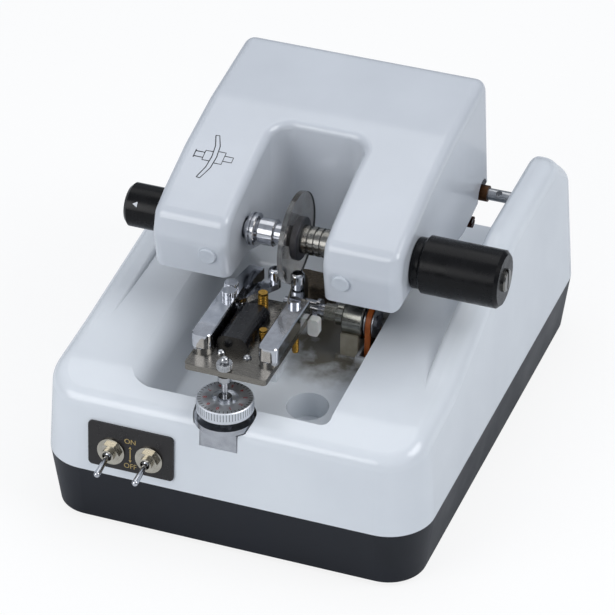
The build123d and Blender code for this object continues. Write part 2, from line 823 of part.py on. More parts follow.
def belt_x(x0, x1, first, second, thickness):
    """Belt round two pulleys. Each pulley is (y, z, radius)."""
    def hull(grow):
        (ya, za, ra), (yb, zb, rb) = first, second
        ra, rb = ra + grow, rb + grow
        gap = sqrt((yb - ya) ** 2 + (zb - za) ** 2)
        along = atan2(zb - za, yb - ya)
        tilt = acos((ra - rb) / gap)
        points = []
        for sign in (1, -1):
            angle = along + sign * tilt
            y, z = cos(angle), sin(angle)
            points.append([(ya + ra * y, za + ra * z), (yb + rb * y, zb + rb * z)])
        (a, b), (c, d) = points
        solid = side_prism([(*a, 0), (*b, 0), (*d, 0), (*c, 0)], x0, x1)
        return solid + rod_x(x0, x1, ya, za, ra) + rod_x(x0, x1, yb, zb, rb)
    return hull(thickness) - hull(running_fit)


def lens_pinion():
    start = -lens_pulley_start - lens_pulley_width
    pulley = pulley_x(start, lens_pulley_width, lens_motor_y, lens_motor_z, lens_pinion_radius, 0.5)
    shaft = rod_x(start, -frame_near + 8, lens_motor_y, lens_motor_z, 1.5)
    return pulley + shaft


def spindle_pulley():
    start = -lens_pulley_start - lens_pulley_width
    return pulley_x(start, lens_pulley_width, lens_axis_y, lens_axis_z, lens_pulley_radius, spindle_radius)


def lens_belt():
    start = -lens_pulley_start - lens_pulley_width
    return belt_x(start + 0.3, -lens_pulley_start - 0.3, (lens_axis_y, lens_axis_z, lens_pulley_radius),
                  (lens_motor_y, lens_motor_z, lens_pinion_radius), lens_belt_thickness)


def stop_screw():
    """Screw with a spacer and a round head, low on the right of the frame."""
    screw = rod_x(frame_near - 2, stop_head_start, stop_y, stop_z, stop_radius)
    spacer = rod_x(frame_far, stop_head_start, stop_y, stop_z, stop_radius + 0.6)
    head = rod_x(stop_head_start, stop_head_end, stop_y, stop_z, stop_head_radius)
    return screw + spacer + head - box(stop_head_end - 0.8, 60, stop_y - 3, stop_y + 3, stop_z - 0.4, stop_z + 0.4)


# Lens and chucks

def left_chuck():
    """Left spindle with its flange and its holder for the pad."""
    chuck = rod_x(flange_start, flange_end, lens_axis_y, lens_axis_z, flange_radius)
    chuck = chamfer(chuck.edges().filter_by(GeomType.CIRCLE), 0.5)
    middle = (flange_start + flange_end) / 2
    chuck -= tube_x(middle - 0.5, middle + 0.5, lens_axis_y, lens_axis_z, flange_radius + 1, flange_radius - 0.8)
    chuck += rod_x(flange_end - 0.5, flange_end + 1, lens_axis_y, lens_axis_z, left_pad_radius)
    body = rod_x(flange_end + 1, left_step, lens_axis_y, lens_axis_z, left_chuck_radius)
    chuck += chamfer(body.edges().filter_by(GeomType.CIRCLE), 0.4)
    chuck += rod_x(left_step - 1, left_chuck_end, lens_axis_y, lens_axis_z, left_pad_radius)
    return chuck + rod_x(-turn_knob_end + 4, flange_start + 1, lens_axis_y, lens_axis_z, spindle_radius)


def lens_blank():
    """Meniscus lens, its rim bent towards the right chuck."""
    half = lens_thickness / 2
    ball_out = Pos(lens_curve - half, lens_axis_y, lens_axis_z) * Sphere(lens_curve)
    ball_in = Pos(lens_curve + half, lens_axis_y, lens_axis_z) * Sphere(lens_curve)
    blank = rod_x(-6, 12, lens_axis_y, lens_axis_z, lens_radius)
    return (blank & ball_out) - ball_in


def left_pad():
    half = lens_thickness / 2
    pad = rod_x(left_chuck_end, 4, lens_axis_y, lens_axis_z, left_pad_radius)
    ball = Pos(lens_curve - half, lens_axis_y, lens_axis_z) * Sphere(lens_curve)
    return pad - ball


def right_pad():
    """Soft pad of the right chuck, just clear of the inside of the lens."""
    half = lens_thickness / 2
    start = half + pad_gap + pad_lift
    pad = rod_x(start, start + pad_thickness, lens_axis_y, lens_axis_z, pad_radius)
    return fillet(pad.edges().filter_by(GeomType.CIRCLE), 0.7)


def right_chuck():
    start = lens_thickness / 2 + pad_gap + pad_lift + pad_thickness
    chuck = rod_x(start, right_chuck_end, lens_axis_y, lens_axis_z, right_chuck_radius)
    for x in (start + 3.0, start + 6.0, start + 9.0):
        chuck -= tube_x(x, x + 1.2, lens_axis_y, lens_axis_z, right_chuck_radius + 1, right_chuck_radius - 0.8)
    return chuck + rod_x(right_chuck_end - 1, right_shaft_end, lens_axis_y, lens_axis_z, right_shaft_radius)


def clamp_quill():
    return tube_x(quill_start, quill_end, lens_axis_y, lens_axis_z, quill_radius, right_shaft_radius + running_fit)


def clamp_screw():
    screw = rod_x(clamp_screw_tip, clamp_head_start + 1, lens_axis_y, lens_axis_z, right_shaft_radius)
    head = rod_x(clamp_head_start, clamp_head_end, lens_axis_y, lens_axis_z, clamp_head_radius)
    head = chamfer(head.edges().sort_by(Axis.X)[-1], 0.6)
    slot = box(clamp_head_end - 1.2, clamp_head_end + 1, lens_axis_y - 0.7, lens_axis_y + 0.7, 100, 130)
    return screw + head - slot


def clamp_knob():
    knob = rod_x(clamp_knob_start, clamp_knob_end, lens_axis_y, lens_axis_z, clamp_knob_radius)
    knob = chamfer(knob.edges().filter_by(GeomType.CIRCLE), knob_chamfer)
    knob += rod_x(head_half + knob_gap, clamp_knob_start + 1, lens_axis_y, lens_axis_z, clamp_neck_radius)
    knob -= rod_x(head_half - 1, clamp_hollow_end, lens_axis_y, lens_axis_z, clamp_hollow_radius)
    knob -= rod_x(clamp_hollow_end - 1, clamp_head_start, lens_axis_y, lens_axis_z, right_shaft_radius)
    return knob - rod_x(clamp_head_start, clamp_knob_end + 1, lens_axis_y, lens_axis_z, clamp_head_radius)


def turn_knob():
    knob = rod_x(-turn_knob_end, -head_half - knob_gap, lens_axis_y, lens_axis_z, turn_knob_radius)
    knob = chamfer(knob.edges().filter_by(GeomType.CIRCLE), knob_chamfer)
    return knob - rod_x(-turn_knob_end + 4, 0, lens_axis_y, lens_axis_z, spindle_radius)


# Groove wheel

def wheel_spindle():
    spindle = rod_x(wheel_x - 5.5, pulley_start + pulley_width + 0.4, wheel_axis_y, wheel_axis_z,
                    wheel_spindle_radius)
    spindle += rod_x(collar_start, collar_end, wheel_axis_y, wheel_axis_z, wheel_spindle_radius + 1)
    return spindle + rod_x(collar_end - 1.6, collar_end, wheel_axis_y, wheel_axis_z, wheel_spindle_radius + 2)


def groove_wheel():
    half = wheel_thickness / 2
    wheel = rod_x(wheel_x - half, wheel_x + half, wheel_axis_y, wheel_axis_z, wheel_radius)
    for side in (-1, 1):
        inner, outer = wheel_x + side * half, wheel_x + side * (half + wheel_hub_width)
        wheel += rod_x(inner, outer, wheel_axis_y, wheel_axis_z, wheel_hub_radius)
    return wheel - rod_x(wheel_x - 9, wheel_x + 9, wheel_axis_y, wheel_axis_z, wheel_spindle_radius)


def clear_sleeve():
    return tube_x(sleeve_start, sleeve_end, wheel_axis_y, wheel_axis_z, sleeve_radius, wheel_spindle_radius)


def spindle_housing():
    """Bush that carries the spindle of the wheel."""
    housing = rod_x(housing_start, housing_end, wheel_axis_y, wheel_axis_z, housing_radius)
    housing = chamfer(housing.edges().filter_by(GeomType.CIRCLE), 0.5)
    housing += rod_x(housing_nose_start, housing_start + 1, wheel_axis_y, wheel_axis_z, housing_nose_radius)
    return housing - rod_x(20, 40, wheel_axis_y, wheel_axis_z, wheel_spindle_radius + running_fit)


def spindle_block():
    end = slot_x0 - collar_wall - fit
    block = box(housing_start, end, wheel_axis_y - 9, wheel_axis_y + 9, pad_top, wheel_axis_z - 4)
    return block - rod_x(20, 40, wheel_axis_y, wheel_axis_z, housing_radius)


def wheel_pulley():
    return pulley_x(pulley_start, pulley_width - 0.8, wheel_axis_y, wheel_axis_z, spindle_pulley_radius,
                    wheel_spindle_radius)


def motor_pulley():
    pulley = pulley_x(pulley_start, pulley_width - 0.8, wheel_axis_y, motor_z, motor_pulley_radius, 0.5)
    end = pulley_start + pulley_width - 1
    return pulley + rod_x(motor_end - 10, end, wheel_axis_y, motor_z, motor_shaft_radius)


def wheel_belt():
    middle = pulley_start + (pulley_width - 0.8) / 2
    return belt_x(middle - wheel_belt_width / 2, middle + wheel_belt_width / 2,
                  (wheel_axis_y, motor_z, motor_pulley_radius),
                  (wheel_axis_y, wheel_axis_z, spindle_pulley_radius), wheel_belt_thickness)


def wheel_motor():
    body = rod_x(motor_end - motor_length, motor_end, wheel_axis_y, motor_z, motor_radius)
    body += rod_x(motor_end - motor_length - 3, motor_end - motor_length, wheel_axis_y, motor_z, 5.0)
    return body - rod_x(motor_end - 11, motor_end + 1, wheel_axis_y, motor_z, motor_shaft_radius + running_fit)


def cooling_sponge():
    """Wet sponge behind the wheel, seated on the sloping floor."""
    y0, y1 = wheel_axis_y + wheel_radius + 0.8, wheel_axis_y + wheel_radius + 14
    def floor_at(y):
        return trough_floor + deck_slope * (y - trough_front) + 0.3
    return side_prism([(y0, floor_at(y0), 0), (y1, floor_at(y1), 0), (y1, 82.0, 1.5), (y0, 82.0, 1.5)],
                      wheel_x - 9, wheel_x + 9)


# Swing plate and arms

def pedestal():
    post = box(mech_x - pedestal_half, mech_x + pedestal_half, plate_pivot_y - 4, plate_pivot_y + 4, pad_top,
               plate_pivot_z)
    post += rod_x(mech_x - pedestal_half, mech_x + pedestal_half, plate_pivot_y, plate_pivot_z, 3.2)
    return post - rod_x(-20, 20, plate_pivot_y, plate_pivot_z, plate_pivot_radius + running_fit)


def swing_plate():
    low = plate_top - plate_thickness
    plate = box(mech_x - plate_half, mech_x + plate_half, plate_front, plate_rear, low, plate_top)
    plate = fillet(plate.edges().filter_by(Axis.Z), 2.0)
    plate -= rod_z(dial_x, dial_y, low - 1, plate_top + 1, rod_radius + 0.5)
    for side in (-1, 1):
        x0, x1 = mech_x + side * ear_near, mech_x + side * ear_far
        plate += box(x0, x1, plate_pivot_y - ear_half, plate_pivot_y + ear_half, plate_pivot_z, low + 0.5)
        plate += rod_x(min(x0, x1), max(x0, x1), plate_pivot_y, plate_pivot_z, ear_half)
    plate += rod_x(mech_x - ear_far, mech_x + ear_far, plate_pivot_y, plate_pivot_z, plate_pivot_radius)
    for x in arm_places():
        plate -= rod_z(x, arm_post_y, low - 1, plate_top + 1, arm_post_radius)
    return plate


def arm_places():
    return (mech_x - arm_offset, mech_x + arm_offset)


def arm_posts():
    """Posts that the arms swing on, hidden in blind holes."""
    posts = []
    for x in arm_places():
        post = rod_z(x, arm_post_y, plate_top - plate_thickness, arm_post_top, arm_post_radius)
        posts.append(post + rod_z(x, arm_post_y, plate_top, arm_bottom - 0.2, arm_base_radius))
    return posts


def roller_x(side):
    """Centre of a guide roller beside the lens."""
    reach = 15.0 if side < 0 else lens_radius - 0.1
    face = lens_curve - sqrt(lens_curve ** 2 - reach ** 2)
    return face + side * (lens_thickness / 2 + roller_gap + roller_radius)


def roller_holder(side, x, half):
    """Thin tongue from the bar to the roller, with the pin of the roller."""
    tip = roller_x(side)
    low = arm_bottom + 0.4
    outline = Polyline((x - side * half * 0.7, arm_rear - 8), (tip - side * 2.0, roller_y - 1.5),
                       (tip + side * 2.0, roller_y + 1.5), (x + side * half * 0.9, arm_rear - 2),
                       (x + side * half * 0.9, arm_rear - 8), close=True)
    holder = extrude(Plane.XY.offset(low) * make_face(outline), amount=arm_tongue)
    holder += rod_z(tip, roller_y, low, roller_bottom - 0.3, roller_pin_radius + 1.2)
    return holder + rod_z(tip, roller_y, low, roller_top - 1.5, roller_pin_radius)


def left_tail(x):
    """Rear of the left bar, bent inwards and a little lower."""
    half = arm_width / 2
    outline = Polyline((x - half + 0.4, arm_rear - 4), (left_tail_x - half + 1, left_tail_y),
                       (left_tail_x + half - 1, left_tail_y), (x + half - 0.4, arm_rear - 4), close=True)
    return extrude(Plane.XY.offset(arm_bottom) * make_face(outline), amount=left_tail_top - arm_bottom)


def guide_arm(side):
    """Chromed bar on one post, with its roller holder."""
    x = mech_x + side * arm_offset
    half = arm_width / 2
    arm = box(x - half, x + half, arm_front, arm_rear, arm_bottom, arm_top)
    arm = fillet(arm.edges().filter_by(Axis.Z).group_by(Axis.Y)[0], 2.8)
    arm = chamfer(arm.edges().filter_by(Axis.Y).group_by(Axis.Z)[-1], 0.5)
    if side < 0:
        arm += left_tail(x)
    arm += roller_holder(side, x, half)
    return arm - rod_z(x, arm_post_y, arm_bottom - 1, arm_post_top + fit, arm_post_radius + running_fit)


def guide_roller(side):
    """Domed roller with a blind bore."""
    x = roller_x(side)
    roller = rod_z(x, roller_y, roller_bottom, roller_top, roller_radius)
    roller = fillet(roller.edges().filter_by(GeomType.CIRCLE).sort_by(Axis.Z)[-1], 1.4)
    return roller - rod_z(x, roller_y, roller_bottom - 1, roller_top - 1.2, roller_pin_radius + running_fit)


def spring_cover():
    cover = box(mech_x - 10.3, mech_x + 4.0, -95, -67.5, plate_top, plate_top + 6.5)
    return fillet(cover.edges().filter_by(Axis.Y).group_by(Axis.Z)[-1], 4.5)


def plate_screws():
    screws = []
    for x, y in ((mech_x - 6.5, -99.0), (mech_x + 5.5, -99.0), (mech_x - 8.0, -64.0)):
        dome = Pos(x, y, plate_top) * Sphere(2.0)
        screws.append(dome & box(x - 3, x + 3, y - 3, y + 3, plate_top, plate_top + 3))
    return screws


def left_arm_screws():
    """Two knurled screws on the rear of the left arm."""
    x = arm_places()[0]
    return [rod_z(px, py, arm_top, arm_top + 3.2, 2.9) for px, py in ((x - 0.5, -63.0), (x + 0.9, -69.2))]


def right_arm_screw():
    x = arm_places()[1] - 1.0
    head = rod_z(x, -65.0, arm_top, arm_top + 2.2, 2.8)
    return head - box(x - 4, x + 4, -65.4, -64.6, arm_top + 1.2, arm_top + 4)


def brass_posts():
    posts = [rod_z(mech_x - 0.6, -64.0, plate_top, plate_top + 11, 2.1)]
    posts.append(rod_z(mech_x + 6.4, -82.0, plate_top, plate_top + 4.5, 1.7))
    posts.append(rod_z(mech_x + 17.5, -72.0, plate_top - 11, plate_top - plate_thickness, 1.4))
    return posts


def side_clip():
    """White nylon clip on the right edge of the plate."""
    edge = mech_x + plate_half
    clip = box(edge, edge + 5.0, -61, -57, plate_top - 9, plate_top - 0.6)
    return fillet(clip.edges().filter_by(Axis.Y), 1.4)


# Depth dial

def dial_bracket():
    """Fixed sleeve under the dial, with the flat front that fills the notch of the shell."""
    half = sleeve_low_radius - 0.1
    bracket = sleeve_space(0, sleeve_top)
    bracket += box(dial_x - half, dial_x + half, sleeve_front_y, dial_y, sleeve_low_z, sleeve_front_top)
    recess = sleeve_rim_radius - sleeve_rim_wall
    bracket -= rod_z(dial_x, dial_y, sleeve_top - sleeve_rim_depth, sleeve_top + 1, recess)
    bracket += rod_z(dial_x, dial_y, sleeve_low_z, centre_tube_top, centre_tube_radius)
    return bracket - rod_z(dial_x, dial_y, sleeve_low_z + 1.5, centre_tube_top + 1, rod_radius + running_fit)


def depth_dial():
    dial = rod_z(dial_x, dial_y, dial_bottom, dial_top, dial_radius)
    dial = chamfer(dial.edges().filter_by(GeomType.CIRCLE), 0.4)
    dial -= rod_z(dial_x, dial_y, dial_top - dial_recess, dial_top + 1, dial_recess_radius)
    for side in (-1, 1):
        dial += rod_z(dial_x + side * 4.6, dial_y, dial_top - dial_recess - 1, dial_top + 0.2, 1.1)
    return dial - rod_z(dial_x, dial_y, 60, 90, centre_tube_radius + running_fit)


def depth_rod():
    rod = rod_z(dial_x, dial_y, rod_foot, plate_top + 4.5, rod_radius)
    shoulder = plate_top - plate_thickness - fit
    rod += rod_z(dial_x, dial_y, shoulder - 2.5, shoulder, rod_shoulder_radius)
    rod += rod_z(dial_x, dial_y, plate_top + fit, plate_top + 3.4, rod_collar_radius)
    return rod + Pos(dial_x, dial_y, plate_top + 4.6) * Sphere(2.0)


# Switch panel

def on_panel(x, z, lift, sketch, height):
    """Piece on the front face, from lift outwards."""
    return extrude(front_face_plane(x, z).offset(lift) * sketch, amount=height)


def switch_plate():
    x, z = (panel_left + panel_right) / 2, (panel_low + panel_high) / 2
    outline = RectangleRounded(panel_right - panel_left, panel_high - panel_low, panel_corner)
    plate = on_panel(x, z, 0, outline, panel_thickness)
    for tx in toggle_x:
        plate -= on_panel(tx, toggle_z, -2, Circle(toggle_bush_radius + running_fit), 6)
    return plate


def switch_housings():
    housings = []
    for x in toggle_x:
        body = on_panel(x, toggle_z, -shell_wall - 13.2, Rectangle(8.0, 13.0), 13.0)
        inside = -shell_wall - 0.5
        body += on_panel(x, toggle_z, inside, Circle(toggle_bush_radius), toggle_bush_end - inside)
        body -= on_panel(x, toggle_z, 1.0, Circle(toggle_bore_radius), 8)
        housings.append(body)
    return housings


def switch_nuts():
    """Washer and nut of each toggle."""
    nuts = []
    for x in toggle_x:
        nut = on_panel(x, toggle_z, panel_thickness, Circle(washer_radius), washer_thickness)
        nut += on_panel(x, toggle_z, panel_thickness + washer_thickness,
                        RegularPolygon(nut_across / 2, 6, major_radius=False), nut_thickness)
        nuts.append(nut - on_panel(x, toggle_z, 0, Circle(toggle_bush_radius + running_fit), 9))
    return nuts


def toggle(index):
    """Lever of one switch, pointing down in its off place."""
    face = front_face_plane(toggle_x[index], toggle_z).offset(toggle_pivot).rotated((toggle_angle, 0, 0))
    cone = Cone(toggle_root_radius, toggle_tip_radius, toggle_length - toggle_tip_radius,
                align=(Align.CENTER, Align.CENTER, Align.MIN))
    tip = Pos(0, 0, toggle_length - toggle_tip_radius) * Sphere(toggle_tip_radius)
    pin = Rot(0, 90, 0) * Cylinder(toggle_pin_radius, 2 * toggle_pin_half)
    return face * (cone + tip + Sphere(toggle_ball_radius) + pin)


def nodes():
    """Every node of the groover, as name and solids."""
    return {
        "base_tray": base_tray(), "rubber_feet": rubber_feet(), "tray_screws": tray_screws(),
        "body_shell": body_shell(), "transformer": transformer(), "control_board": control_board(),
        "power_inlet": power_inlet(), "fuse_holder": fuse_holder(), "hinge_brackets": hinge_brackets(),
        "hinge_shaft": hinge_shaft(), "hinge_bushes": hinge_bushes(), "head_cover": head_cover(),
        "cap_plugs": cap_plugs(), "head_frame": head_frame(), "chuck_bearings": chuck_bearings(),
        "lens_motor": lens_motor(), "lens_pinion": lens_pinion(), "spindle_pulley": spindle_pulley(),
        "lens_belt": lens_belt(), "stop_screw": stop_screw(), "left_chuck": left_chuck(),
        "left_pad": left_pad(), "turn_knob": turn_knob(), "lens_blank": lens_blank(),
        "right_pad": right_pad(), "right_chuck": right_chuck(), "clamp_quill": clamp_quill(),
        "clamp_screw": clamp_screw(), "clamp_knob": clamp_knob(), "wheel_spindle": wheel_spindle(),
        "groove_wheel": groove_wheel(), "clear_sleeve": clear_sleeve(),
        "spindle_housing": spindle_housing(), "spindle_block": spindle_block(),
        "wheel_pulley": wheel_pulley(), "motor_pulley": motor_pulley(), "wheel_belt": wheel_belt(),
        "wheel_motor": wheel_motor(), "cooling_sponge": cooling_sponge(), "pedestal": pedestal(),
        "swing_plate": swing_plate(), "arm_posts": arm_posts(), "left_arm": guide_arm(-1),
        "right_arm": guide_arm(1), "left_roller": guide_roller(-1), "right_roller": guide_roller(1),
        "spring_cover": spring_cover(), "left_arm_screws": left_arm_screws(),
        "right_arm_screw": right_arm_screw(), "plate_screws": plate_screws(),
        "brass_posts": brass_posts(), "side_clip": side_clip(), "dial_bracket": dial_bracket(),
        "depth_dial": depth_dial(), "depth_rod": depth_rod(), "switch_plate": switch_plate(),
        "switch_housings": switch_housings(), "switch_nuts": switch_nuts(),
        "lens_toggle": toggle(0), "wheel_toggle": toggle(1),
    }


def write_parts():
    os.makedirs("parts", exist_ok=True)
    for name, solids in nodes().items():
        if isinstance(solids, list):
            solids = Compound(children=solids)
        export_step(solids, "parts/" + name + ".step")


write_parts()
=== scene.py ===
import bpy
from math import cos, pi, radians, sin, tan
from mathutils import Matrix, Vector


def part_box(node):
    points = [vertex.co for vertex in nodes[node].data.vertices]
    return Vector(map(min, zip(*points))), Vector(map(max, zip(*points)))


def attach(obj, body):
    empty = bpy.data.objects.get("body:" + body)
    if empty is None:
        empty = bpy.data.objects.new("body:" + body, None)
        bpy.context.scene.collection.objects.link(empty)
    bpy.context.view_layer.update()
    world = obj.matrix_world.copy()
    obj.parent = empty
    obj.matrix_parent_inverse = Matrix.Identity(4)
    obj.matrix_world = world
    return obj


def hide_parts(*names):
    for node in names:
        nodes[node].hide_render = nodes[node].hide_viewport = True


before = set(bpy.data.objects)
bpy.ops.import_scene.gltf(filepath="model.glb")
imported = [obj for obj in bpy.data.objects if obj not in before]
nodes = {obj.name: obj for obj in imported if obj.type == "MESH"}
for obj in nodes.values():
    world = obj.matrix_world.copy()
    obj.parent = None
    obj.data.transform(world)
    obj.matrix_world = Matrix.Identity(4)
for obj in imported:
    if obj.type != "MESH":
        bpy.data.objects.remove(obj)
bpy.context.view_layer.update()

# Bench lens groover: glossy white shell on a dark tray, a tilting head with the lens between two
# chucks, a groove wheel in a wet trough, guide arms on a plate and a depth dial.
# Lengths are metres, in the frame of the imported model: X right, Y to the rear, Z up.

MM = 0.001

# Places that the pieces below share, in millimetres
lens_axis = (0.0, -35.0, 117.0)
wheel_axis = (0.0, -35.0, 81.0)
hinge_axis = (0.0, 58.5, 97.3)
dial_x, dial_y, dial_top = -3.0, -109.5, 79.0
dial_radius = 12.6
knob_radius = 10.0
front_y, front_foot_z = -120.0, 31.0
front_lean = radians(3.8)
switch_mid_x = -44.0
print_lift = 1.03

# Turns that lay a pattern's own Z along the object's X, or leave it upright
along_x = (0, pi / 2, 0)
upright = (0, 0, 0)


# Materials

def colour(hex_code):
    """sRGB hex to the linear colour that the shader wants."""
    parts = [int(hex_code[i:i + 2], 16) / 255 for i in (1, 3, 5)]
    return tuple(c / 12.92 if c <= 0.04045 else ((c + 0.055) / 1.055) ** 2.4 for c in parts) + (1.0,)


def add(material, kind, values=None, links=None, **fields):
    """Adds a node, sets its fields and inputs, and links its inputs."""
    node = material.node_tree.nodes.new(kind)
    for field, value in fields.items():
        setattr(node, field, value)
    for name, value in (values or {}).items():
        node.inputs[name].default_value = value
    for name, socket in (links or {}).items():
        material.node_tree.links.new(socket, node.inputs[name])
    return node


def new_material(name, rough, metal=0.0, **values):
    material = bpy.data.materials.new(name)
    material.use_nodes = True
    material.node_tree.nodes.clear()
    shader = add(material, "ShaderNodeBsdfPrincipled", {"Roughness": rough, "Metallic": metal, **values})
    add(material, "ShaderNodeOutputMaterial", links={"Surface": shader.outputs["BSDF"]})
    return material, shader


def place(material, centre=(0, 0, 0), turn=upright, size_mm=(1.0, 1.0, 1.0)):
    """Object coordinates about a centre in mm, turned, with one unit for each size_mm."""
    source = add(material, "ShaderNodeTexCoord")
    moved = add(material, "ShaderNodeMapping", {"Location": [-c * MM for c in centre]},
                {"Vector": source.outputs["Object"]}, vector_type="POINT")
    return add(material, "ShaderNodeMapping",
               {"Rotation": turn, "Scale": [1000.0 / s for s in size_mm]},
               {"Vector": moved.outputs["Vector"]}, vector_type="POINT").outputs["Vector"]


def uneven(material, shader, at, dark, light, patch_mm, rough_low, rough_high):
    """Faint cloudy change of colour and gloss, as a real surface shows from handling."""
    low, high = 0.3, 0.7
    cloud = add(material, "ShaderNodeTexNoise", {"Scale": 1.0 / patch_mm, "Detail": 3.0}, {"Vector": at})
    ramp = add(material, "ShaderNodeValToRGB", links={"Fac": cloud.outputs["Fac"]})
    for stop, position, shade in zip(ramp.color_ramp.elements, (low, high), (dark, light)):
        stop.position = position
        stop.color = colour(shade)
    gloss = add(material, "ShaderNodeMapRange",
                {"From Min": low, "From Max": high, "To Min": rough_low, "To Max": rough_high},
                {"Value": cloud.outputs["Fac"]})
    links = material.node_tree.links
    links.new(ramp.outputs["Color"], shader.inputs["Base Color"])
    links.new(gloss.outputs["Result"], shader.inputs["Roughness"])
    return ramp


def bumpy(material, shader, height, depth_mm, strength):
    """Relief of a real depth in millimetres."""
    relief = add(material, "ShaderNodeBump", {"Strength": strength, "Distance": depth_mm * MM},
                 {"Height": height})
    material.node_tree.links.new(relief.outputs["Normal"], shader.inputs["Normal"])


def grain(material, shader, at, grain_mm, detail, depth_mm, strength):
    """Fine relief of one grain size, as moulding, etching or wiping leaves it."""
    noise = add(material, "ShaderNodeTexNoise", {"Scale": 1 / grain_mm, "Detail": detail}, {"Vector": at})
    bumpy(material, shader, noise.outputs["Fac"], depth_mm, strength)


def gloss_white_abs(name, dark, light, trough_shaded=False):
    """Injection-moulded white ABS, high gloss: soft cool white with a faint orange peel."""
    material, shader = new_material(name, 0.2, **{"Coat Weight": 0.3, "Coat Roughness": 0.08})
    at = place(material)
    ramp = uneven(material, shader, at, dark, light, 45.0, 0.17, 0.25)
    # Paints shade into the trough, tinted brown like dried slurry.
    if trough_shaded:
        slurry_stain(material, shader, ramp)
    grain(material, shader, at, 2.5, 1.0, 0.02, 0.25)
    return material


def slurry_stain(material, shader, ramp):
    """Painted shade on the trough floor, tinted brown like dried glass slurry, strongest behind the plate
    and under the wheel.
    """
    middle, reach_mm = (24.0, -28.0, 60.0), (38.0, 44.0, 18.0)
    near = place(material, middle, size_mm=reach_mm)
    ball = add(material, "ShaderNodeTexGradient", links={"Vector": near}, gradient_type="SPHERICAL")
    blot = add(material, "ShaderNodeTexNoise", {"Scale": 1 / 7.0, "Detail": 4.0},
               {"Vector": place(material)})
    trough_shade_mask = add(material, "ShaderNodeMath", links={0: ball.outputs["Fac"], 1: blot.outputs["Fac"]},
               operation="MULTIPLY")
    edge = add(material, "ShaderNodeMapRange", {"From Min": 0.05, "From Max": 0.26, "To Max": 0.92},
               {"Value": trough_shade_mask.outputs[0]})
    mix = add(material, "ShaderNodeMix", links={"Factor": edge.outputs["Result"]}, data_type="RGBA")
    material.node_tree.links.new(ramp.outputs["Color"], mix.inputs[6])
    # Brownish grey of the painted trough shade.
    mix.inputs[7].default_value = colour("#665F4F")
    material.node_tree.links.new(mix.outputs[2], shader.inputs["Base Color"])


def textured_navy_abs():
    """Dark navy ABS of the tray, spark-eroded texture: satin, with a grit of about 0.5 mm."""
    material, shader = new_material("textured_navy_ABS", 0.42, **{"Specular IOR Level": 0.35})
    at = place(material)
    uneven(material, shader, at, "#0C1019", "#11151F", 30.0, 0.36, 0.48)
    grain(material, shader, at, 0.5, 2.0, 0.03, 0.5)
    return material


def phenolic_black():
    """Black phenolic of the knobs: deep black, polished, with faint moulding haze."""
    material, shader = new_material("black_phenolic", 0.24, **{"Specular IOR Level": 0.2})
    at = place(material)
    uneven(material, shader, at, "#070708", "#0D0D0F", 6.0, 0.2, 0.32)
    grain(material, shader, at, 1.2, 2.0, 0.01, 0.3)
    return material


def moulded_plastic(name, dark, light, rough):
    """Small moulded covers, plugs and sockets: even colour under a fine grain of 0.35 mm."""
    material, shader = new_material(name, rough)
    at = place(material)
    uneven(material, shader, at, dark, light, 5.0, rough - 0.06, rough + 0.08)
    grain(material, shader, at, 0.35, 2.0, 0.012, 0.3)
    return material


def plated(name, dark, light, rough):
    """Chrome, nickel or zinc plate, or polished steel: clouded mirror metal with fine wipe marks."""
    material, shader = new_material(name, rough, 1.0)
    at = place(material)
    uneven(material, shader, at, dark, light, 3.0, rough * 0.7, rough * 1.5)
    wipes = add(material, "ShaderNodeTexNoise", {"Scale": 1 / 0.8, "Detail": 3.0, "Distortion": 0.6},
                {"Vector": at})
    bumpy(material, shader, wipes.outputs["Fac"], 0.003, 0.2)
    return material


def turned(name, dark, light, rough, centre, turn, pitch_mm=0.25, depth_mm=0.01):
    """Metal turned on a lathe: fine rings of the tool about its own axis."""
    material, shader = new_material(name, rough, 1.0)
    at = place(material, centre, turn)
    uneven(material, shader, at, dark, light, 4.0, rough * 0.8, rough * 1.3)
    rings = add(material, "ShaderNodeTexWave",
                {"Scale": 0.314 / pitch_mm, "Distortion": 0.4, "Detail": 1.0},
                {"Vector": at}, wave_type="BANDS", bands_direction="Z")
    bumpy(material, shader, rings.outputs["Fac"], depth_mm, 0.4)
    return material


def faced(name, dark, light, rough, centre):
    """Turned end face, as on the dial: rings of 0.35 mm about Z that draw a bright cross of light."""
    material, shader = new_material(name, rough, 1.0, Anisotropic=0.5)
    at = place(material, centre)
    uneven(material, shader, at, dark, light, 5.0, rough * 0.8, rough * 1.3)
    rings = add(material, "ShaderNodeTexWave", {"Scale": 0.314 / 0.35, "Distortion": 0.2},
                {"Vector": at}, wave_type="RINGS", rings_direction="Z")
    bumpy(material, shader, rings.outputs["Fac"], 0.008, 0.4)
    return material


def brushed(name, dark, light, rough, grain_mm):
    """Rolled or ground metal with fine parallel scratches, grain_mm long, wide and high."""
    material, shader = new_material(name, rough, 1.0)
    at = place(material, size_mm=grain_mm)
    uneven(material, shader, at, dark, light, 1.0, rough * 0.8, rough * 1.35)
    scratch = add(material, "ShaderNodeTexNoise", {"Scale": 2.0, "Detail": 4.0}, {"Vector": at})
    bumpy(material, shader, scratch.outputs["Fac"], 0.01, 0.35)
    return material


def soft_rubber(name, dark, light, rough):
    """Moulded rubber: matt, with a grain of 0.5 mm and pale dust in the hollows."""
    material, shader = new_material(name, rough, **{"Specular IOR Level": 0.35})
    at = place(material)
    uneven(material, shader, at, dark, light, 3.0, rough - 0.08, rough + 0.1)
    grain(material, shader, at, 0.5, 3.0, 0.05, 0.5)
    return material


def milky_nylon():
    """White nylon, slightly see-through, with a soft waxy gloss."""
    material, shader = new_material("white_nylon", 0.35,
                                    **{"Subsurface Weight": 0.15, "Subsurface Scale": 0.002})
    at = place(material)
    uneven(material, shader, at, "#D5D6D1", "#E4E4E0", 4.0, 0.3, 0.42)
    grain(material, shader, at, 0.8, 2.0, 0.02, 0.4)
    return material


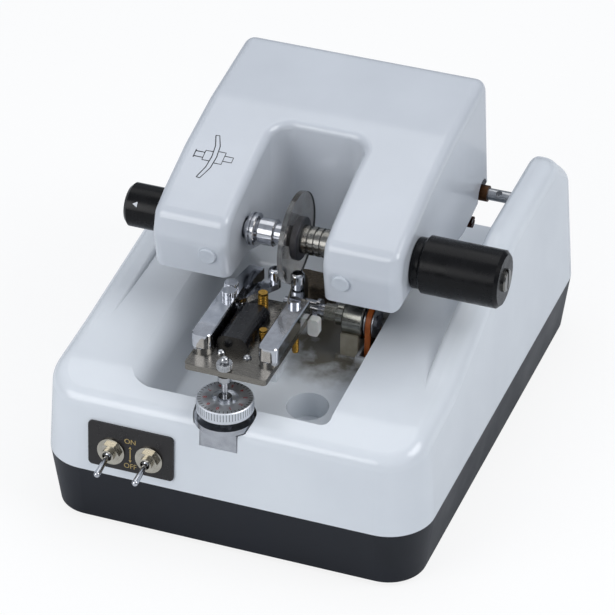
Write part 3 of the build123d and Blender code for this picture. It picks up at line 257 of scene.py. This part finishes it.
def lens_resin():
    """Resin lens with smears of coolant: see-through, sharp reflections, a faint brown tint."""
    material, shader = new_material("lens_resin", 0.03, **{"Transmission Weight": 1.0, "IOR": 1.5})
    at = place(material)
    uneven(material, shader, at, "#CFC7BE", "#F1EEEA", 7.0, 0.02, 0.16)
    smear = add(material, "ShaderNodeTexNoise", {"Scale": 1 / 6.0, "Detail": 3.0, "Distortion": 1.0},
                {"Vector": at})
    bumpy(material, shader, smear.outputs["Fac"], 0.01, 0.2)
    return material


def clear_vinyl():
    """Yellowed clear PVC sleeve over the wheel spindle, slightly rippled."""
    material, shader = new_material("clear_sleeve_PVC", 0.15,
                                    **{"Transmission Weight": 0.75, "IOR": 1.53})
    at = place(material)
    uneven(material, shader, at, "#D9D6C4", "#E6E3D3", 3.0, 0.1, 0.25)
    grain(material, shader, at, 1.5, 2.0, 0.03, 0.4)
    return material


def circuit_laminate():
    """Green solder mask over glass fibre weave of 0.6 mm."""
    material, shader = new_material("board_laminate", 0.3)
    at = place(material)
    uneven(material, shader, at, "#14401F", "#1E5A2C", 2.0, 0.25, 0.4)
    weave = add(material, "ShaderNodeTexChecker", {"Scale": 1 / 0.6}, {"Vector": at})
    bumpy(material, shader, weave.outputs["Fac"], 0.02, 0.3)
    return material


def diamond_wheel():
    """Electroplated diamond wheel: grey bond, with its grit drawn at 0.3 mm so that it shows."""
    material, shader = new_material("diamond_bond", 0.45, 0.8)
    at = place(material)
    uneven(material, shader, at, "#5E5A52", "#8A857A", 0.8, 0.35, 0.55)
    grit = add(material, "ShaderNodeTexVoronoi", {"Scale": 1 / 0.3}, {"Vector": at})
    bumpy(material, shader, grit.outputs["Distance"], 0.05, 0.6)
    return material


def wet_cellulose():
    """Cellulose sponge, brown with slurry: matt, with pores of about 1 mm."""
    material, shader = new_material("cellulose_sponge", 0.75, **{"Specular IOR Level": 0.3})
    at = place(material)
    uneven(material, shader, at, "#4A4238", "#6E6354", 1.6, 0.6, 0.9)
    pores = add(material, "ShaderNodeTexVoronoi", {"Scale": 1 / 1.1}, {"Vector": at})
    bumpy(material, shader, pores.outputs["Distance"], 0.5, 0.8)
    return material


def printed(name, dark, light):
    """Pad-printed ink: a thin satin film, a little worn."""
    material, shader = new_material(name, 0.4)
    at = place(material)
    uneven(material, shader, at, dark, light, 1.5, 0.34, 0.5)
    grain(material, shader, at, 0.4, 2.0, 0.005, 0.4)
    return material


def dress(names, material):
    """Gives CAD pieces their material."""
    for name in names.split():
        for slot in nodes[name].material_slots:
            slot.material = material


chrome = plated("bright_chrome_plate", "#B9BBC0", "#C9CBD0", 0.09)
nickel = plated("warm_nickel_plate", "#AAA599", "#C2BDB1", 0.2)
ground = plated("ground_steel", "#A5A6A8", "#B7B8BA", 0.2)
black_gloss = moulded_plastic("black_gloss_ABS", "#070709", "#0E0E11", 0.24)
brass = turned("turned_brass", "#A67F35", "#C0984A", 0.25, (0, 0, 0), upright, 0.8, 0.05)

# Shell, tray and head
# The shell's white also carries the painted shade of the trough.
dress("body_shell", gloss_white_abs("gloss_white_ABS_shell", "#D6DBE1", "#DDE2E7", True))
dress("head_cover", gloss_white_abs("gloss_white_ABS_head", "#C3C8CF", "#CACFD6"))
dress("cap_plugs", moulded_plastic("grey_white_polythene", "#BFC5CD", "#C9CFD6", 0.4))
dress("base_tray", textured_navy_abs())
dress("tray_screws", plated("zinc_plate", "#A09F98", "#B5B4AC", 0.3))
dress("hinge_brackets", brushed("folded_steel", "#8F9092", "#A5A6A8", 0.38, (1, 10, 0.4)))
dress("hinge_shaft clamp_quill",
      turned("ground_shaft_steel", "#A3A4A6", "#B4B5B7", 0.2, hinge_axis, along_x))
dress("hinge_bushes", turned("oiled_bronze", "#4E3524", "#6A4A33", 0.4, hinge_axis, along_x))
dress("head_frame", brushed("cast_aluminium", "#8E8F91", "#A2A3A6", 0.45, (1.5, 1.5, 1.5)))
dress("stop_screw", plated("browned_steel", "#3A2119", "#54332A", 0.4))

# Rubber, belts and knobs
dress("rubber_feet left_pad lens_belt", soft_rubber("black_rubber", "#121213", "#232324", 0.6))
dress("right_pad", soft_rubber("dark_grey_rubber", "#2C2C2F", "#3E3E42", 0.35))
dress("wheel_belt", soft_rubber("orange_polyurethane", "#8E4517", "#A95A24", 0.4))
dress("turn_knob clamp_knob", phenolic_black())

# Drives and electrical parts
dress("transformer", brushed("transformer_steel", "#4A4743", "#5C5954", 0.45, (8, 1, 0.5)))
dress("control_board", circuit_laminate())
dress("power_inlet fuse_holder spring_cover", black_gloss)
dress("lens_motor wheel_motor", brushed("motor_can_steel", "#77787A", "#8C8D90", 0.4, (0.5, 8, 8)))
dress("lens_pinion spindle_pulley wheel_pulley motor_pulley",
      turned("pulley_aluminium", "#8C8D90", "#A2A3A6", 0.3, lens_axis, along_x))
dress("switch_plate", moulded_plastic("black_anodised_plate", "#120F0F", "#1C1818", 0.3))
dress("switch_housings switch_nuts", nickel)

# Chucks, lens and wheel
dress("left_chuck wheel_spindle",
      turned("chromed_chuck_steel", "#B0B1B5", "#C4C5C9", 0.12, lens_axis, along_x))
dress("right_chuck clamp_screw",
      turned("dark_chuck_steel", "#74726D", "#92908B", 0.2, lens_axis, along_x))
dress("lens_blank", lens_resin())
dress("groove_wheel", diamond_wheel())
dress("clear_sleeve", clear_vinyl())
dress("spindle_housing", turned("housing_steel", "#77776F", "#96958E", 0.2, wheel_axis, along_x))
dress("spindle_block", moulded_plastic("ivory_bakelite", "#8E8878", "#A39C8B", 0.45))

# Guide plate, arms and dial
dress("chuck_bearings arm_posts plate_screws depth_rod", ground)
dress("pedestal", brushed("milled_aluminium", "#84858A", "#97989C", 0.4, (1, 1, 6)))
dress("swing_plate", brushed("ground_plate_steel", "#7C7871", "#87837C", 0.24, (4, 0.3, 0.3)))
dress("left_arm right_arm left_roller right_roller", chrome)
dress("left_arm_screws right_arm_screw lens_toggle wheel_toggle", chrome)
dress("side_clip", milky_nylon())
dress("brass_posts", brass)
dress("dial_bracket",
      turned("bracket_nickel", "#A7A9AE", "#BABCC1", 0.2, (dial_x, dial_y, 0), upright))
dress("depth_dial", faced("dial_aluminium", "#D6D9DE", "#E4E7EB", 0.44, (dial_x, dial_y, dial_top)))


# Ways to model the small pieces

def active(piece):
    """Selects one piece alone."""
    bpy.ops.object.select_all(action="DESELECT")
    piece.select_set(True)
    bpy.context.view_layer.objects.active = piece


def apply_all(piece):
    """Turns the place and the modifiers of a piece into its mesh."""
    active(piece)
    bpy.ops.object.transform_apply(location=True, rotation=True, scale=True)
    for modifier in list(piece.modifiers):
        bpy.ops.object.modifier_apply(modifier=modifier.name)


def finish(piece, name, material, body):
    """Names a finished piece, dresses it and lets it move with its body."""
    apply_all(piece)
    piece.name = name
    piece.data.materials.clear()
    piece.data.materials.append(material)
    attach(piece, body)
    return piece


def joined(pieces):
    """One piece out of several."""
    for piece in pieces:
        apply_all(piece)
    active(pieces[0])
    for piece in pieces:
        piece.select_set(True)
    bpy.ops.object.join()
    return bpy.context.object


def moved_to(piece, where, turn):
    """A piece put at a place in mm and turned."""
    piece.location = [c * MM for c in where]
    piece.rotation_euler = turn
    return piece


def bevelled(piece, width_mm):
    edge = piece.modifiers.new("edge", "BEVEL")
    edge.width = width_mm * MM
    edge.segments = 1
    return piece


def block(centre, size, bevel_mm):
    """Small bevelled block, in mm."""
    bpy.ops.object.select_all(action="DESELECT")
    bpy.ops.mesh.primitive_cube_add(size=1.0, location=[c * MM for c in centre])
    piece = bpy.context.object
    piece.scale = [c * MM for c in size]
    bpy.ops.object.transform_apply(location=False, rotation=False, scale=True)
    return bevelled(piece, bevel_mm)


def triangle(radius_mm, depth_mm, turn):
    """Small flat triangle for a printed mark, turned in its own plane."""
    bpy.ops.object.select_all(action="DESELECT")
    bpy.ops.mesh.primitive_cylinder_add(vertices=3, radius=radius_mm * MM, depth=depth_mm * MM)
    piece = bpy.context.object
    piece.rotation_euler = (0, 0, turn)
    apply_all(piece)
    return piece


def round_about(piece, x, y, count):
    """Copies of a piece about an upright axis, joined into one."""
    apply_all(piece)
    centre = Matrix.Translation((x * MM, y * MM, 0))
    pieces = [piece]
    for i in range(1, count):
        twin = piece.copy()
        twin.data = piece.data.copy()
        bpy.context.collection.objects.link(twin)
        twin.data.transform(centre @ Matrix.Rotation(2 * pi * i / count, 4, "Z") @ centre.inverted())
        pieces.append(twin)
    return joined(pieces)


def word(text, size_mm, where, turn):
    """Raised lettering as a mesh, where in mm and turn in radians."""
    bpy.ops.object.select_all(action="DESELECT")
    bpy.ops.object.text_add()
    piece = bpy.context.object
    piece.data.body = text
    piece.data.size = size_mm * MM
    piece.data.extrude = 0.03 * MM
    piece.data.align_x = "CENTER"
    piece.data.align_y = "CENTER"
    bpy.ops.object.convert(target="MESH")
    return moved_to(bpy.context.object, where, turn)


# Printed marks

def panel_point(z):
    """Point between the switches on the leaning front face, lifted on the switch plate, in mm."""
    y = front_y + (z - front_foot_z) * tan(front_lean)
    return (switch_mid_x, y - print_lift * cos(front_lean), z + print_lift * sin(front_lean))


def switch_marks():
    """ON, OFF and the arrows between the two switches, gold print on the black plate."""
    upright_print = (pi / 2 - front_lean, 0, 0)
    letter_mm, film_mm = 3.5, 0.06
    on_z, up_tip_z, shaft_z, down_tip_z, off_z = 51.2, 48.0, 44.7, 41.4, 38.6
    pieces = [word("ON", letter_mm, panel_point(on_z), upright_print),
              word("OFF", letter_mm, panel_point(off_z), upright_print)]
    for z, up in ((up_tip_z, 0), (down_tip_z, pi)):
        pieces.append(moved_to(triangle(0.85, film_mm, up), panel_point(z), upright_print))
    shaft = block((0, 0, 0), (0.5, 5.0, film_mm), 0.01)
    apply_all(shaft)
    pieces.append(moved_to(shaft, panel_point(shaft_z), upright_print))
    finish(joined(pieces), "switch_marks", printed("gold_print", "#A08B55", "#B59E66"), "base")


def dial_marks():
    """Scale of the depth dial: printed lines on the face and numbers 0 to 9, and on the rim dark strips of
    painted shade for the grooves between its ribs.
    """
    rim_z, number_radius, number_mm = 76.6, 8.9, 2.6
    black = printed("black_ink", "#1A1A1C", "#2A2A2C")
    red = printed("red_ink", "#8E1F1C", "#A8302A")
    groove = printed("painted_groove_shade", "#5A5C62", "#72757B")
    face = block((dial_x, dial_y - dial_radius + 1.3, dial_top), (0.3, 1.5, 0.06), 0.01)
    finish(round_about(face, dial_x, dial_y, 40), "dial_face_lines", black, "dial")
    # Dark strips on the rim: painted shade of the grooves between the ribs.
    rim = block((dial_x, dial_y - dial_radius + 0.02, rim_z), (0.28, 0.12, 3.6), 0.02)
    finish(round_about(rim, dial_x, dial_y, 60), "dial_rim_groove_shade", groove, "dial")
    numbers = []
    for i in range(10):
        angle = 2 * pi * i / 10 - pi / 2
        where = (dial_x + number_radius * cos(angle), dial_y + number_radius * sin(angle), dial_top + 0.02)
        numbers.append(word(str(i), number_mm, where, (0, 0, angle + pi / 2)))
    finish(joined(numbers), "dial_numbers", red, "dial")


def pictogram():
    """Plain line sketch on the left arm: a lens edge between two chucks."""
    centre_x, centre_y, above = -41.5, -24.5, 160.0
    lens_back = [(-3.4, 12), (-1.2, 6), (-0.6, 0), (-1.2, -6), (-3.4, -12)]
    lens_front = [(-3.4, 12), (-1.6, 12.2), (1.0, 6), (1.6, 0), (1.0, -6), (-1.6, -12.2), (-3.4, -12)]
    left_chuck = [[(-1.0, 2.6), (-4.4, 2.6), (-4.4, -2.6), (-1.0, -2.6)], [(-4.4, 1.4), (-8.8, 1.4)],
                  [(-4.4, -1.4), (-8.8, -1.4)], [(-8.8, 2.2), (-8.8, -2.2)]]
    right_chuck = [[(1.6, 3.2), (5.0, 3.2), (5.0, -3.2), (1.6, -3.2)],
                   [(5.0, 1.4), (9.2, 1.4), (9.2, -1.4), (5.0, -1.4)]]
    curve = bpy.data.curves.new("lens_sketch", "CURVE")
    curve.dimensions = "3D"
    curve.bevel_depth = 0.22 * MM
    curve.bevel_resolution = 1
    for stroke in [lens_back, lens_front] + left_chuck + right_chuck:
        line = curve.splines.new("POLY")
        line.points.add(len(stroke) - 1)
        for point, (u, v) in zip(line.points, stroke):
            point.co = ((centre_x + u) * MM, (centre_y + v) * MM, above * MM, 1)
    sketch = bpy.data.objects.new("lens_sketch", curve)
    bpy.context.collection.objects.link(sketch)
    active(sketch)
    bpy.ops.object.convert(target="MESH")
    sketch = bpy.context.object
    bpy.ops.object.mode_set(mode="EDIT")
    bpy.ops.mesh.select_all(action="SELECT")
    bpy.ops.mesh.subdivide(number_cuts=2)
    bpy.ops.object.mode_set(mode="OBJECT")
    fit = sketch.modifiers.new("fit", "SHRINKWRAP")
    fit.target = nodes["head_cover"]
    fit.wrap_method = "PROJECT"
    fit.use_project_z = True
    fit.use_negative_direction = True
    fit.use_positive_direction = False
    fit.offset = 0.05 * MM
    black = printed("black_line_print", "#222326", "#303136")
    finish(sketch, "lens_sketch", black, "head")


def knob_mark():
    """Small white triangle on the front of the left knob."""
    mark_x, reach, tilt = -71.5, knob_radius + 0.02, radians(55)
    axis_x, axis_y, axis_z = lens_axis
    where = (axis_x + mark_x, axis_y - reach * sin(tilt), axis_z + reach * cos(tilt))
    mark = moved_to(triangle(1.5, 0.1, pi / 2), where, (tilt, 0, 0))
    white = printed("white_print", "#C9CBD0", "#DCDEE2")
    finish(bevelled(mark, 0.02), "knob_mark", white, "left_spindle")


# Knurls, threads and the sponge

def knurl(name, x, y, low, high, radius, count, material, body):
    """Straight knurling: upright ribs round a thumb screw."""
    bpy.ops.object.select_all(action="DESELECT")
    width = 2 * pi * radius / count * 0.3
    bpy.ops.mesh.primitive_cylinder_add(vertices=8, radius=width * MM, depth=(high - low) * MM,
                                        location=(x * MM, (y - radius) * MM, (low + high) / 2 * MM))
    rib = bevelled(bpy.context.object, 0.1)
    finish(round_about(rib, x, y, count), name, material, body)


def thread(name, x, y, low, high, radius, pitch):
    """Screw thread of a brass post, drawn as rings because its lead is too fine to see."""
    rings = []
    for i in range(int((high - low) / pitch)):
        bpy.ops.object.select_all(action="DESELECT")
        centre = (x * MM, y * MM, (low + (i + 0.5) * pitch) * MM)
        bpy.ops.mesh.primitive_torus_add(major_radius=radius * MM, minor_radius=pitch * 0.3 * MM,
                                         major_segments=24, minor_segments=6, location=centre)
        rings.append(bpy.context.object)
    active(finish(joined(rings), name, brass, "plate"))
    bpy.ops.object.shade_smooth()


def wet_sponge():
    """Sponge that wets the wheel: a block with soft edges and an uneven skin."""
    low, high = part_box("cooling_sponge")
    middle = [(a + b) / 2 for a, b in zip(low, high)]
    bpy.ops.object.select_all(action="DESELECT")
    bpy.ops.mesh.primitive_cube_add(size=1.0, location=middle)
    sponge = bpy.context.object
    sponge.scale = [(b - a) * 0.95 for a, b in zip(low, high)]
    bpy.ops.object.transform_apply(location=True, rotation=True, scale=True)
    bpy.ops.object.mode_set(mode="EDIT")
    bpy.ops.mesh.select_all(action="SELECT")
    bpy.ops.mesh.subdivide(number_cuts=14, smoothness=0.0)
    bpy.ops.transform.vertex_random(offset=0.5 * MM, seed=3)
    bpy.ops.object.mode_set(mode="OBJECT")
    soften = sponge.modifiers.new("soften", "SMOOTH")
    soften.iterations = 2
    finish(sponge, "wet_sponge", wet_cellulose(), "base")
    bpy.ops.object.shade_smooth()
    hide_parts("cooling_sponge")


switch_marks()
dial_marks()
pictogram()
wet_sponge()
knob_mark()
knurl("thumb_screw_ribs_rear", -18.1, -63.0, 103.2, 106.0, 2.9, 16, chrome, "arm_left")
knurl("thumb_screw_ribs_front", -16.7, -69.2, 103.2, 106.0, 2.9, 16, chrome, "arm_left")
knurl("rod_collar_ribs", dial_x, dial_y, 94.5, 97.2, 3.3, 18, ground, "rod")
thread("tall_post_thread", -2.8, -64.0, 95.0, 104.5, 2.05, 0.9)
thread("short_post_thread", 4.2, -82.0, 94.6, 98.2, 1.65, 0.8)
thread("hanging_post_thread", 15.3, -72.0, 83.4, 90.6, 1.35, 0.8)


# Floor, light and camera

def pale_floor():
    """Plain floor, nearly white to the camera, which keeps the object's shadow."""
    bpy.ops.object.select_all(action="DESELECT")
    bpy.ops.mesh.primitive_plane_add(size=8.0, location=(0, 0, 0))
    floor = bpy.context.object
    floor.name = "floor"
    material = bpy.data.materials.new("white_floor")
    material.use_nodes = True
    material.node_tree.nodes.clear()
    rays = add(material, "ShaderNodeLightPath")
    seen = add(material, "ShaderNodeMath", operation="MAXIMUM",
               links={0: rays.outputs["Is Camera Ray"], 1: rays.outputs["Is Transmission Ray"]})
    amount = add(material, "ShaderNodeMath", {1: 0.8}, {0: seen.outputs[0]}, operation="MULTIPLY")
    pale = add(material, "ShaderNodeBsdfDiffuse", {"Color": colour("#E4E6E8")})
    white = add(material, "ShaderNodeEmission", {"Color": colour("#FFFFFF"), "Strength": 1.05})
    mix = add(material, "ShaderNodeMixShader",
              links={0: amount.outputs[0], 1: pale.outputs[0], 2: white.outputs[0]})
    add(material, "ShaderNodeOutputMaterial", links={"Surface": mix.outputs[0]})
    floor.data.materials.append(material)


def studio_sky():
    """Light from all round, darker near the horizon so that bright metal shows both tones."""
    world = bpy.data.worlds.new("studio")
    bpy.context.scene.world = world
    world.use_nodes = True
    world.node_tree.nodes.clear()
    rays = add(world, "ShaderNodeLightPath")
    way = add(world, "ShaderNodeTexCoord")
    height = add(world, "ShaderNodeSeparateXYZ", links={"Vector": way.outputs["Generated"]})
    ramp = add(world, "ShaderNodeValToRGB", links={"Fac": height.outputs["Z"]})
    for stop, position, shade in zip(ramp.color_ramp.elements, (0.2, 0.45), ("#6A6F77", "#B4B9C1")):
        stop.position = position
        stop.color = colour(shade)
    soft = add(world, "ShaderNodeBackground", {"Strength": 1.0}, {"Color": ramp.outputs["Color"]})
    white = add(world, "ShaderNodeBackground", {"Color": colour("#FFFFFF"), "Strength": 1.0})
    mix = add(world, "ShaderNodeMixShader",
              links={0: rays.outputs["Is Camera Ray"], 1: soft.outputs[0], 2: white.outputs[0]})
    add(world, "ShaderNodeOutputWorld", links={"Surface": mix.outputs[0]})


def soft_lamp(name, where, size, power):
    """Round soft lamp that looks at the middle of the object."""
    aim = Vector((0, -0.02, 0.07))
    lamp = bpy.data.lights.new(name, "AREA")
    lamp.shape = "DISK"
    lamp.size = size
    lamp.energy = power
    light = bpy.data.objects.new(name, lamp)
    bpy.context.scene.collection.objects.link(light)
    light.location = where
    light.rotation_euler = (aim - Vector(where)).to_track_quat("-Z", "Y").to_euler()


def photo_camera():
    """Camera solved from the photograph: its turn to the right, its height and a long lens."""
    azimuth, elevation = 20.56, 34.26
    lens = bpy.data.cameras.new("photo_camera")
    lens.sensor_width = 36.0
    lens.sensor_height = 36.0
    lens.lens = 211.54
    lens.clip_end = 20.0
    camera = bpy.data.objects.new("photo_camera", lens)
    bpy.context.scene.collection.objects.link(camera)
    camera.location = (0.47557, -1.28404, 0.98941)
    camera.rotation_euler = (radians(90 - elevation), 0, radians(azimuth))
    bpy.context.scene.camera = camera
    bpy.context.scene.view_settings.view_transform = "Standard"


pale_floor()
studio_sky()
soft_lamp("key", (0.95, -0.15, 0.95), 0.8, 6.4)
soft_lamp("top", (-0.15, 0.35, 1.3), 1.0, 2.6)
soft_lamp("fill", (-0.7, -1.1, 0.6), 1.0, 7.6)
photo_camera()
